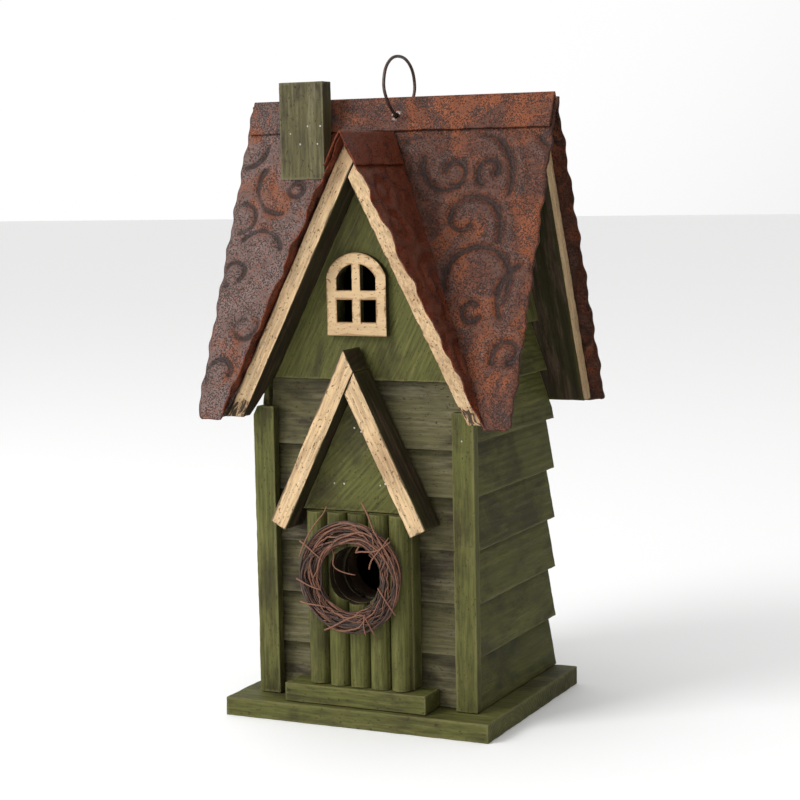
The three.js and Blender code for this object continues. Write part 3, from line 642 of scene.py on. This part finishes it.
def folded_cap(name, node, ridge_axis, first, last, finish, cut=None, holes=(), seed=0.0):
    """A ridge cap: one strip folded over the ridge, with torn edges round the wire's holes."""
    s = bpy.context.scene.birdhouse_sheet
    sides = [Slope(node, ridge_axis, side) for side in (-1, 1)]
    low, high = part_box(node)
    flap = (high.z - low.z) / math.cos(sides[0].angle)
    cell = 0.8 * s.cell
    rows, columns = int((last - first) / cell) + 1, 2 * int(flap / cell) + 1
    t, u = np.meshgrid(np.linspace(0, 1, rows), np.linspace(-1, 1, columns), indexing="ij")
    along = first + (last - first) * t
    spread = u * (flap - 0.4 * MM + np.abs(u) * wave(along + seed * MM, 0.2 * MM, 31 * MM))
    fold = 1.1 * MM
    fall = np.sqrt(spread ** 2 + fold ** 2) - fold
    angle = sides[0].angle
    flat = np.stack([along.ravel(), spread.ravel(), 0 * along.ravel()], 1)
    dent = 0.22 * MM * noise_field(flat, 13 * MM, seed)
    dent = np.minimum(dent.reshape(along.shape), 0.05 * MM) * ease(np.abs(spread), 2 * MM, 6 * MM)
    places = np.array(sides[0].ridge) + np.outer(along, ridge_axis)
    flat_axis = np.array(sides[0].flat_axis)
    places += np.outer(spread * math.sin(angle) + np.sign(spread) * dent * math.cos(angle), flat_axis)
    places[:, 2] += (-fall * math.cos(angle) + dent * math.sin(angle)).ravel()
    torn = np.zeros(len(places))
    for hole in holes:
        near = np.linalg.norm(places - np.array(hole), axis=1)
        lip = np.exp(-((near - 1.7 * MM) / (0.9 * MM)) ** 2)
        ragged = noise_field(places, 1.6 * MM, 5)
        outwards = sides[int(hole.y > sides[0].ridge.y)].out
        places += np.outer(lip * (0.35 + 0.4 * ragged) * MM, outwards)
        torn = np.maximum(torn, lip * (ragged > 0.05))
    mesh = bpy.data.meshes.new(name)
    mesh.from_pydata(places.tolist(), [], grid_faces(rows, columns).tolist())
    # The dents' depth, which the finish darkens as painted shade.
    write_values(mesh, "relief", "FLOAT", dent / (0.6 * MM))
    write_values(mesh, "torn", "FLOAT", torn)
    bm = bmesh.new()
    bm.from_mesh(mesh)
    for hole in holes:
        gone = [v for v in bm.verts if (v.co - hole).length < 1.5 * MM]
        bmesh.ops.delete(bm, geom=gone, context="VERTS")
    sheet_metal(name, mesh, bm, cut, Z, node, finish)


def node_result(name, tree, inputs, source=None):
    """Runs a Geometry Nodes tree once and returns its mesh."""
    holder = bpy.data.objects.new(name, source or bpy.data.meshes.new(name))
    bpy.context.scene.collection.objects.link(holder)
    run = holder.modifiers.new(name, "NODES")
    run.node_group = tree
    for socket in tree.interface.items_tree:
        if socket.item_type == "SOCKET" and socket.in_out == "INPUT" and socket.name in inputs:
            run[socket.identifier] = inputs[socket.name]
    evaluated = holder.evaluated_get(bpy.context.evaluated_depsgraph_get())
    mesh = bpy.data.meshes.new_from_object(evaluated)
    bpy.data.objects.remove(holder)
    mesh.name = name
    return mesh


def geometry_tree(name, sockets):
    tree = bpy.data.node_groups.new(name, "GeometryNodeTree")
    tree.interface.new_socket("Geometry", in_out="OUTPUT", socket_type="NodeSocketGeometry")
    tree.interface.new_socket("Geometry", in_out="INPUT", socket_type="NodeSocketGeometry")
    for label, kind in sockets.items():
        tree.interface.new_socket(label, in_out="INPUT", socket_type="NodeSocket" + kind)
    return tree, add(tree, "NodeGroupInput").outputs


def end_tree(tree, geometry, material):
    real = add(tree, "GeometryNodeRealizeInstances", {"Geometry": geometry}).outputs[0]
    dressed = add(tree, "GeometryNodeSetMaterial", {"Geometry": real, "Material": material}).outputs[0]
    add(tree, "NodeGroupOutput", {"Geometry": dressed})


def twig_tree():
    """Thin twigs wound round a ring that faces forwards."""
    tree, given = geometry_tree("Wound twigs", {
        "Twigs": "Int", "Points": "Int", "Ring": "Float", "Across": "Float", "Deep": "Float", "Twig": "Float",
        "Centre": "Vector", "Seed": "Int", "Material": "Material"})
    index = add(tree, "GeometryNodeInputIndex").outputs[0]
    strand = calc(tree, "FLOOR", calc(tree, "DIVIDE", index, given["Points"]))
    step = calc(tree, "SUBTRACT", index, calc(tree, "MULTIPLY", strand, given["Points"]))
    share = calc(tree, "DIVIDE", step, calc(tree, "SUBTRACT", given["Points"], 1))

    def chance(offset, low, high):
        seed = calc(tree, "ADD", given["Seed"], offset)
        return add(tree, "FunctionNodeRandomValue", {2: low, 3: high, 7: strand, 8: seed},
                   data_type="FLOAT").outputs[1]

    def wander(offset, pace):
        parts = {0: calc(tree, "MULTIPLY", share, pace), 1: calc(tree, "MULTIPLY", strand, 3.7),
                 2: float(offset)}
        place = add(tree, "ShaderNodeCombineXYZ", parts).outputs[0]
        field = add(tree, "ShaderNodeTexNoise", {"Vector": place, "Scale": 1.0, "Detail": 1.5}).outputs["Fac"]
        return calc(tree, "SUBTRACT", field, 0.5)

    turn = calc(tree, "MULTIPLY_ADD", share, chance(1, 1.7, 5.6), chance(2, 0.0, 6.283))
    lay = calc(tree, "MULTIPLY_ADD", turn, chance(3, -1.7, 1.7), chance(4, 0.0, 6.283))
    lay = calc(tree, "MULTIPLY_ADD", wander(1, 5.0), 2.2, lay)
    size = calc(tree, "MULTIPLY_ADD", wander(2, 6.0), 0.42, calc(tree, "SQRT", chance(5, 0.10, 0.92)))
    side = calc(tree, "MULTIPLY", calc(tree, "MULTIPLY", given["Across"], size), calc(tree, "COSINE", lay))
    depth = calc(tree, "MULTIPLY", calc(tree, "MULTIPLY", given["Deep"], size), calc(tree, "SINE", lay))
    reach = calc(tree, "ADD", given["Ring"], side)
    parts = {0: calc(tree, "MULTIPLY", reach, calc(tree, "COSINE", turn)), 1: depth,
             2: calc(tree, "MULTIPLY", reach, calc(tree, "SINE", turn))}
    place = add(tree, "ShaderNodeCombineXYZ", parts).outputs[0]
    place = add(tree, "ShaderNodeVectorMath", {0: place, 1: given["Centre"]}, operation="ADD").outputs[0]
    middle = calc(tree, "ABSOLUTE", calc(tree, "MULTIPLY_ADD", share, 2.0, -1.0))
    taper = calc(tree, "MULTIPLY_ADD", calc(tree, "POWER", middle, 3.0), -0.5, 1.0)
    radius = calc(tree, "MULTIPLY", calc(tree, "MULTIPLY", given["Twig"], chance(6, 0.62, 1.35)), taper)
    dots = add(tree, "GeometryNodePoints", {"Count": calc(tree, "MULTIPLY", given["Twigs"], given["Points"]),
                                            "Position": place}).outputs[0]
    dots = add(tree, "GeometryNodeStoreNamedAttribute", {"Geometry": dots, "Name": "tone",
                                                         "Value": chance(7, 0.0, 1.0)}, data_type="FLOAT").outputs[0]
    lines = add(tree, "GeometryNodePointsToCurves", {"Points": dots, "Curve Group ID": strand,
                                                     "Weight": share}).outputs[0]
    round_bar = add(tree, "GeometryNodeCurvePrimitiveCircle", {"Resolution": 6, "Radius": 1.0}).outputs[0]
    bars = add(tree, "GeometryNodeCurveToMesh", {"Curve": lines, "Profile Curve": round_bar, "Scale": radius,
                                                 "Fill Caps": True}).outputs[0]
    end_tree(tree, bars, given["Material"])
    return tree


def nail_tree():
    """Flattened round heads on given points, facing out of the wood."""
    tree, given = geometry_tree("Nail heads", {"Radius": "Float", "Material": "Material"})
    head = add(tree, "GeometryNodeMeshUVSphere", {"Segments": 12, "Rings": 6, "Radius": given["Radius"]}).outputs[0]
    head = add(tree, "GeometryNodeTransform", {"Geometry": head, "Scale": (1.0, 1.0, 0.35)}).outputs[0]
    head = add(tree, "GeometryNodeSetShadeSmooth", {"Geometry": head}).outputs[0]
    facing = add(tree, "GeometryNodeInputNamedAttribute", {"Name": "facing"}, data_type="FLOAT_VECTOR").outputs[0]
    turned = add(tree, "FunctionNodeAlignRotationToVector", {"Vector": facing}, axis="Z").outputs[0]
    heads = add(tree, "GeometryNodeInstanceOnPoints", {"Points": given["Geometry"], "Instance": head,
                                                       "Rotation": turned}).outputs[0]
    end_tree(tree, heads, given["Material"])
    return tree


def wire_mesh(name, paths, finish, sides=3):
    """Round wires or twigs along smooth paths. A path is (points, radius at its start, radius at its end)."""
    curve = bpy.data.curves.new(name, "CURVE")
    curve.dimensions = "3D"
    curve.bevel_depth = 1.0
    curve.bevel_resolution = sides
    curve.use_fill_caps = True
    for points, first, last in paths:
        line = curve.splines.new("NURBS")
        line.points.add(len(points) - 1)
        line.order_u = 4
        line.resolution_u = 6
        line.use_endpoint_u = True
        for i, (point, place) in enumerate(zip(line.points, points)):
            point.co = (*place, 1)
            point.radius = first + (last - first) * i / (len(points) - 1)
    curve.materials.append(finish)
    holder = bpy.data.objects.new(name, curve)
    bpy.context.scene.collection.objects.link(holder)
    mesh = bpy.data.meshes.new_from_object(holder.evaluated_get(bpy.context.evaluated_depsgraph_get()))
    bpy.data.objects.remove(holder)
    bm = bmesh.new()
    bm.from_mesh(mesh)
    bmesh.ops.remove_doubles(bm, verts=bm.verts, dist=1e-6)
    bmesh.ops.recalc_face_normals(bm, faces=bm.faces)
    write_smooth(bm, mesh)
    return mesh


# ---------------------------------------------------------------- operators

class BIRDHOUSE_OT_box(bpy.types.Operator):
    """Build the base, the inner box and its back"""
    bl_idname = "birdhouse.box"
    bl_label = "Base and Box"

    def execute(self, context):
        worn_board("base_board", [green_paint()], "green_paint", rough=1.3)
        worn_board("back_wall", [green_paint()], "green_paint", along=Z)
        for node in ("front_wall", "left_side_wall", "right_side_wall"):
            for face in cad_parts[node].material_slots:
                face.material = bare_wood()
        return {"FINISHED"}


class BIRDHOUSE_OT_siding(bpy.types.Operator):
    """Build the lapped siding, the gable ends and the corner posts"""
    bl_idname = "birdhouse.siding"
    bl_label = "Siding and Posts"

    def execute(self, context):
        for node in sorted(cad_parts):
            if node.startswith("front_siding"):
                worn_board(node, [grey_paint(), dark_bore()], "weathered_green")
            elif "_siding_" in node or node.endswith(("gable_end", "corner_post")):
                worn_board(node, [green_paint()], "green_paint")
        return {"FINISHED"}


class BIRDHOUSE_OT_gable(bpy.types.Operator):
    """Build the front gable's panel and its window"""
    bl_idname = "birdhouse.gable"
    bl_label = "Gable and Window"

    def execute(self, context):
        lean = Slope("gable_ridge_cap", Y, -1).down
        worn_board("gable_panel", [green_paint()], "green_paint", along=-lean)
        worn_board("window_frame", [dark_stain(), window_paint()], "cream_edge", along=X, cut_face=-Y,
                   rough=0.5)
        return {"FINISHED"}


class BIRDHOUSE_OT_door(bpy.types.Operator):
    """Build the door with its slats, the step and the pediment"""
    bl_idname = "birdhouse.door"
    bl_label = "Door and Pediment"

    def execute(self, context):
        for node in sorted(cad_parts):
            if node.startswith("door_"):
                worn_board(node, [green_paint(), dark_bore()], "green_paint")
        worn_board("pediment_panel", [green_paint()], "green_paint", along=X + Z)
        for node in ("pediment_board_left", "pediment_board_right"):
            worn_board(node, [dark_stain(), cream_paint()], "cream_edge", cut_face=-Y, rough=1.3)
        return {"FINISHED"}


class BIRDHOUSE_OT_roof_boards(bpy.types.Operator):
    """Build the wooden boards of both roofs"""
    bl_idname = "birdhouse.roof_boards"
    bl_label = "Roof Boards"

    def execute(self, context):
        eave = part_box("roof_board_back")[0].z

        def broken_end(at):
            height = at.z - eave - 11 * MM - 5 * MM * noise.noise(Vector((at.x, at.y, 0)) * 160)
            return min(1.0, max(0.0, -height / (3 * MM)))

        for node in ("gable_roof_board_left", "gable_roof_board_right"):
            worn_board(node, [dark_stain(), cream_paint()], "cream_edge", cut_face=-Y, crack=broken_end,
                       rough=1.3)
        ends = {"roof_board_front_left": -X, "roof_board_front_right": X, "roof_board_back": X}
        for node, end in ends.items():
            lean = Slope("ridge_cap", X, 1 if node.endswith("back") else -1).down
            worn_board(node, [dark_stain(), cream_paint()], "cream_edge", along=lean, cut_face=end)
        return {"FINISHED"}


class BIRDHOUSE_OT_sheets(bpy.types.Operator):
    """Build the embossed and wavy roof sheets"""
    bl_idname = "birdhouse.sheets"
    bl_label = "Roof Sheets"

    def execute(self, context):
        s = context.scene.birdhouse_sheet
        for turn, word, scrolls in ((1, "right", RIGHT_SCROLLS), (-1, "left", LEFT_SCROLLS)):
            gable = Slope("gable_ridge_cap", Y, turn)
            valley = (gable.ridge - gable.out * (s.depth + s.thick), -gable.out)
            main_sheet(f"embossed_sheet_{word}", f"roof_sheet_front_{word}", -1, turn, 0.2 * MM, brown_rust(),
                       scrolls, 3.0 + turn, valley)
            gable_sheet(f"wavy_gable_sheet_{word}", f"gable_sheet_{word}", turn, red_rust())
        main_sheet("embossed_sheet_back", "roof_sheet_back", 1, 1, None, brown_rust(), RIGHT_SCROLLS, 9.0)
        return {"FINISHED"}


class BIRDHOUSE_OT_caps(bpy.types.Operator):
    """Build the folded caps on both ridges"""
    bl_idname = "birdhouse.caps"
    bl_label = "Ridge Caps"

    def execute(self, context):
        low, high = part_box("ridge_cap")
        front, back = Slope("ridge_cap", X, -1), Slope("ridge_cap", X, 1)
        wire_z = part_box("hanging_loop")[0].z + 1.1 * MM
        holes = [slope.ridge + slope.down * slope.reach(wire_z) for slope in (front, back)]
        folded_cap("folded_ridge_cap", "ridge_cap", X, low.x, high.x, cap_rust(), holes=holes, seed=3.0)
        low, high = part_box("gable_ridge_cap")
        cut = (front.ridge + front.out * 0.25 * MM, -front.out)
        folded_cap("folded_gable_cap", "gable_ridge_cap", Y, low.y, high.y + 2 * MM, red_rust(), cut=cut,
                   seed=8.0)
        return {"FINISHED"}


class BIRDHOUSE_OT_chimney(bpy.types.Operator):
    """Build the chimney block"""
    bl_idname = "birdhouse.chimney"
    bl_label = "Chimney"

    def execute(self, context):
        worn_board("chimney_block", [grey_paint()], "weathered_green", along=Z)
        return {"FINISHED"}


class BIRDHOUSE_OT_wreath(bpy.types.Operator):
    """Build the wreath of wound twigs"""
    bl_idname = "birdhouse.wreath"
    bl_label = "Twig Wreath"

    def execute(self, context):
        t = context.scene.birdhouse_trim
        low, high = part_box("twig_wreath")
        centre = (low + high) / 2
        deep = (high.y - low.y) / 2 - 1.1 * MM
        across = 6.6 * MM
        inputs = {"Twigs": t.twigs, "Points": 46, "Ring": (high.x - low.x) / 2 - across - 0.8 * MM,
                  "Across": across, "Deep": deep, "Twig": t.twig, "Centre": tuple(centre), "Seed": 4, "Material": bark()}
        mesh = node_result("wound_twigs", twig_tree(), inputs)
        for face in mesh.polygons:
            face.use_smooth = True
        new_piece("wound_twigs", mesh, HOUSE, "twigs", "twig_wreath")
        stray = [
            [(-29, -4, 10), (-27, -4, 16), (-22, -4, 25), (-17, -3, 32), (-13.5, -3, 35), (-12.5, -2, 39)],
            [(8.5, -2, 42), (12, -3, 38), (15, -4, 31), (17, -4, 26), (23, -4.5, 18), (28, -4, 10), (31, -4, -3),
             (28, -3, -11)],
            [(5.3, -3.5, 14.8), (9, -4.2, 16), (15, -4.6, 15), (21, -4.5, 17.5), (26, -3, 22)],
            [(6, -4, 15.5), (7, -4.5, 17.5), (8, -4.5, 18.5)],
            [(13, -3, 6), (14, -4.2, 10), (17, -4.6, 14), (22, -4.5, 19), (25, -3, 24)],
            [(-12, 2, 15), (-10, 2, 11.5), (-12.8, 2.4, 7), (-10.4, 3, 3), (-4, 3, 1.4), (1.5, 3, 1)],
            [(18, -3, -4), (22, -4.2, -9), (25, -4.4, -13), (28.5, -3.8, -18)],
            [(-29.5, -3, -14.5), (-24, -4.4, -16), (-19, -4.4, -15.2), (-14, -3.4, -16.5)],
            [(-31.5, -3, -2), (-27, -4.2, -3.5), (-22, -4.4, -6.5), (-16, -3.6, -7)],
            [(-29, -3, 19), (-24, -4.2, 17), (-20, -4.4, 13), (-15.5, -3.4, 9.5)],
            [(-15, -3, -29.5), (-9, -4.4, -27), (-2, -4.6, -22.5), (5, -4.4, -20), (10, -4, -18), (12, -3.8, -24),
             (15.5, -3, -30)],
            [(10, -3.4, -19), (8.5, -4.2, -25), (10.5, -3.6, -30.5)],
            [(-4, -4, 19), (6, -4.6, 24), (15, -4.4, 21), (24, -4, 12), (27, -3, 4)],
        ]
        paths = [([centre + (Vector(p) + Y * 0.1) * MM for p in line], 0.52 * MM, 0.3 * MM) for line in stray]
        mesh = wire_mesh("stray_twigs", paths, bark(), 2)
        write_values(mesh, "tone", "FLOAT", np.full(len(mesh.vertices), 0.85))
        new_piece("stray_twigs", mesh, HOUSE, "twigs")
        return {"FINISHED"}


class BIRDHOUSE_OT_loop(bpy.types.Operator):
    """Build the hanging loop of wire"""
    bl_idname = "birdhouse.loop"
    bl_label = "Hanging Loop"

    def execute(self, context):
        t = context.scene.birdhouse_trim
        low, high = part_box("hanging_loop")
        radius = 0.9 * MM
        middle = (low + high) / 2
        half = (high.y - low.y) / 2 - radius
        foot, rise_by = low.z + radius, high.z - low.z - 2 * radius
        shape = [(0.02, 0.0), (0.22, 0.003), (0.58, 0.13), (0.88, 0.32), (1.0, 0.52), (0.86, 0.78), (0.48, 0.95)]
        right = [Vector((0, middle.y + half * a, foot + rise_by * b)) for a, b in shape]
        left = [Vector((0, middle.y - half * a, foot + rise_by * b)) for a, b in shape]
        path = left + [Vector((0, middle.y, foot + rise_by))] + right[::-1]
        smooth = []
        for p0, p1, p2, p3 in zip([path[0]] + path[:-2], path[:-1], path[1:], path[2:] + [path[-1]]):
            for k in range(4):
                s = k / 4
                smooth.append(0.5 * (2 * p1 + (p2 - p0) * s + (2 * p0 - 5 * p1 + 4 * p2 - p3) * s * s
                                     + (3 * p1 - p0 - 3 * p2 + p3) * s ** 3))
        smooth.append(path[-1])
        mesh = wire_mesh("bent_wire", [(smooth, radius, radius)], metal("dull_wire", t.iron, 0.5), 5)
        new_piece("bent_wire", mesh, LOOP, "dark_wire", "hanging_loop")
        return {"FINISHED"}


class BIRDHOUSE_OT_cover(bpy.types.Operator):
    """Build the clean-out hole's cover and its screw"""
    bl_idname = "birdhouse.cover"
    bl_label = "Cover and Screw"

    def execute(self, context):
        worn_board("cleanout_cover", [green_paint()], "green_paint", along=Z, body=COVER)
        low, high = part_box("cover_screw")
        middle = (low + high) / 2
        head, shank = (high.x - low.x) / 2, 0.44 * (high.x - low.x) / 2
        top = high.y
        bm = bmesh.new()
        profile = [(0, low.y), (0.4 * shank, low.y), (shank, low.y + 2 * MM), (shank, top - 2.7 * MM),
                   (head * 0.94, top - 2.6 * MM), (head, top - 2.3 * MM), (head * 0.93, top - 1.2 * MM),
                   (head * 0.7, top - 0.4 * MM), (head * 0.35, top - 0.05 * MM), (0, top)]
        line = [bm.verts.new((middle.x + r, y, middle.z)) for r, y in profile]
        for a, b in zip(line[:-1], line[1:]):
            bm.edges.new((a, b))
        bmesh.ops.spin(bm, geom=bm.verts[:] + bm.edges[:], cent=middle, axis=Y, angle=2 * math.pi, steps=32,
                       use_merge=True)
        bmesh.ops.remove_doubles(bm, verts=bm.verts, dist=1e-5)
        for v in bm.verts:
            flat_x, flat_z = abs(v.co.x - middle.x), abs(v.co.z - middle.z)
            if v.co.y > top - 1.3 * MM and min(flat_x, flat_z) < 0.55 * MM and max(flat_x, flat_z) < 0.72 * head:
                v.co.y -= 1.0 * MM
        bmesh.ops.recalc_face_normals(bm, faces=bm.faces)
        mesh = bpy.data.meshes.new("cross_head_screw")
        write_smooth(bm, mesh)
        mesh.materials.append(metal("plated_zinc", context.scene.birdhouse_trim.zinc, 0.35, 0.3))
        new_piece("cross_head_screw", mesh, HOUSE, "zinc", "cover_screw")
        return {"FINISHED"}


class BIRDHOUSE_OT_nails(bpy.types.Operator):
    """Set the nails in the boards, the chimney and the sheets"""
    bl_idname = "birdhouse.nails"
    bl_label = "Nails"

    def execute(self, context):
        t = context.scene.birdhouse_trim
        spots = []

        def on_front(node, places):
            """Nails in a piece's front, at millimetres from its left edge and from its foot."""
            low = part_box(node)[0]
            for x, z in places:
                spots.append((low + Vector((x, 0.15, z)) * MM, -Y))

        on_front("chimney_block", [(7, 26), (18, 30), (26, 30), (13, 20), (24, 20)])
        on_front("right_corner_post", [(6, 148)])
        on_front("pediment_panel", [(20, 15), (26, 15), (48, 15), (51, 16), (33, 46), (37, 44)])
        on_front("gable_roof_board_left", [(25, 41)])
        on_front("gable_roof_board_right", [(54, 34)])
        main = Slope("ridge_cap", X, -1)
        back = Slope("ridge_cap", X, 1)
        for slope, places in ((main, ((-62, 5), (40, 6), (76, 12))), (back, ((-60, 12), (0, 24), (58, 12)))):
            for across, down in places:
                place = Vector(slope.place([across * MM], [down * MM], [0])[0])
                spots.append((place, slope.out))
        for side in (-1, 1):
            gable = Slope("gable_ridge_cap", Y, side)
            for across, down in ((-58, 12), (-40, 15)):
                spots.append((Vector(gable.place([across * MM], [down * MM], [0])[0]), gable.out))
        mesh = bpy.data.meshes.new("nail_places")
        mesh.from_pydata([tuple(place) for place, _ in spots], [], [])
        write_values(mesh, "facing", "FLOAT_VECTOR", [tuple(out) for _, out in spots])
        inputs = {"Radius": t.nail, "Material": metal("nail_iron", [0.6 * c for c in t.bright], 0.5, 0.8)}
        new_piece("nails", node_result("nails", nail_tree(), inputs, mesh), HOUSE, "dark_wire")
        return {"FINISHED"}


class BIRDHOUSE_OT_stage(bpy.types.Operator):
    """Set up the floor, the soft lights and the camera"""
    bl_idname = "birdhouse.stage"
    bl_label = "Stage"

    def execute(self, context):
        floor_mesh = bpy.data.meshes.new("floor")
        half = 12.0   # metres, so that its edge is far behind the birdhouse
        floor_mesh.from_pydata([(-half, -half, 0), (half, -half, 0), (half, half, 0), (-half, half, 0)], [],
                               [(0, 1, 2, 3)])
        made, tree = new_material("pale_floor")
        skin = add(tree, "ShaderNodeBsdfPrincipled", {"Base Color": (0.93, 0.93, 0.93, 1), "Roughness": 0.8})
        add(tree, "ShaderNodeOutputMaterial", {"Surface": skin.outputs[0]})
        floor_mesh.materials.append(made)
        floor = bpy.data.objects.new("floor", floor_mesh)
        context.scene.collection.objects.link(floor)
        world = bpy.data.worlds.new("Studio")
        world.use_nodes = True
        sky = world.node_tree
        facing = add(sky, "ShaderNodeTexCoord").outputs["Generated"]
        left = add(sky, "ShaderNodeVectorMath", {0: facing, 1: (-0.80, -0.10, 0.55)}, operation="DOT_PRODUCT")
        bright = rise(sky, left.outputs["Value"], -0.60, 0.25, 0.0, 1.0)
        tint = over(sky, bright, (0.040, 0.032, 0.016, 1), (1.0, 1.0, 1.0, 1))
        sky.links.new(tint, sky.nodes["Background"].inputs["Color"])
        context.scene.view_settings.view_transform = "Standard"
        context.scene.world = world
        middle = Vector((0, 0, 0.18))
        lamps = (("Key", (-1.1, -1.5, 1.5), 0.9, 30), ("Fill", (-0.7, -2.2, 0.30), 1.4, 15))
        for name, place, size, power in lamps:
            light = bpy.data.lights.new(name, "AREA")
            light.size, light.energy = size, power
            lamp = bpy.data.objects.new(name, light)
            lamp.location = place
            lamp.rotation_mode = "QUATERNION"
            lamp.rotation_quaternion = (middle - Vector(place)).to_track_quat("-Z", "Y")
            context.scene.collection.objects.link(lamp)
        azimuth, height, tilt = (math.radians(angle) for angle in (25.41, 6.435, -1.096))
        distance, target = 1.12744, Vector((-0.25, 0, 173.52)) * MM
        level = Vector((math.sin(azimuth), -math.cos(azimuth), 0))
        back = level * math.cos(height) + Z * math.sin(height)
        right = (-back).cross(Z).normalized()
        up = right.cross(-back)
        right, up = right * math.cos(tilt) + up * math.sin(tilt), up * math.cos(tilt) - right * math.sin(tilt)
        data = bpy.data.cameras.new("Camera")
        data.lens = 89.39
        camera = bpy.data.objects.new("Camera", data)
        turned = Matrix((right, up, back)).transposed().to_4x4()
        camera.matrix_world = Matrix.Translation(target + back * distance) @ turned
        context.scene.collection.objects.link(camera)
        context.scene.camera = camera
        return {"FINISHED"}


STEPS = (
    BIRDHOUSE_OT_stage, BIRDHOUSE_OT_box, BIRDHOUSE_OT_siding, BIRDHOUSE_OT_gable, BIRDHOUSE_OT_door,
    BIRDHOUSE_OT_roof_boards, BIRDHOUSE_OT_sheets, BIRDHOUSE_OT_caps, BIRDHOUSE_OT_chimney, BIRDHOUSE_OT_wreath,
    BIRDHOUSE_OT_loop, BIRDHOUSE_OT_cover, BIRDHOUSE_OT_nails,
)


class BIRDHOUSE_PT_panel(bpy.types.Panel):
    """Lists the birdhouse's pieces and settings"""
    bl_idname = "BIRDHOUSE_PT_panel"
    bl_label = "Birdhouse"
    bl_space_type = "VIEW_3D"
    bl_region_type = "UI"
    bl_category = "Birdhouse"

    def draw(self, context):
        for step in STEPS:
            self.layout.operator(step.bl_idname)
        for group in GROUPS:
            settings = getattr(context.scene, GROUPS[group])
            for key in group.__annotations__:
                self.layout.prop(settings, key)


GROUPS = {BirdhouseWood: "birdhouse_wood", BirdhouseSheet: "birdhouse_sheet", BirdhouseTrim: "birdhouse_trim"}


def register():
    for group, name in GROUPS.items():
        bpy.utils.register_class(group)
        setattr(bpy.types.Scene, name, bpy.props.PointerProperty(type=group))
    for made in (*STEPS, BIRDHOUSE_PT_panel):
        bpy.utils.register_class(made)


def unregister():
    for made in (BIRDHOUSE_PT_panel, *reversed(STEPS)):
        bpy.utils.unregister_class(made)
    for group, name in GROUPS.items():
        delattr(bpy.types.Scene, name)
        bpy.utils.unregister_class(group)


def main():
    register()
    for step in STEPS:
        group, name = step.bl_idname.split(".")
        getattr(getattr(bpy.ops, group), name)()
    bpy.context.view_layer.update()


if __name__ == "__main__":
    main()
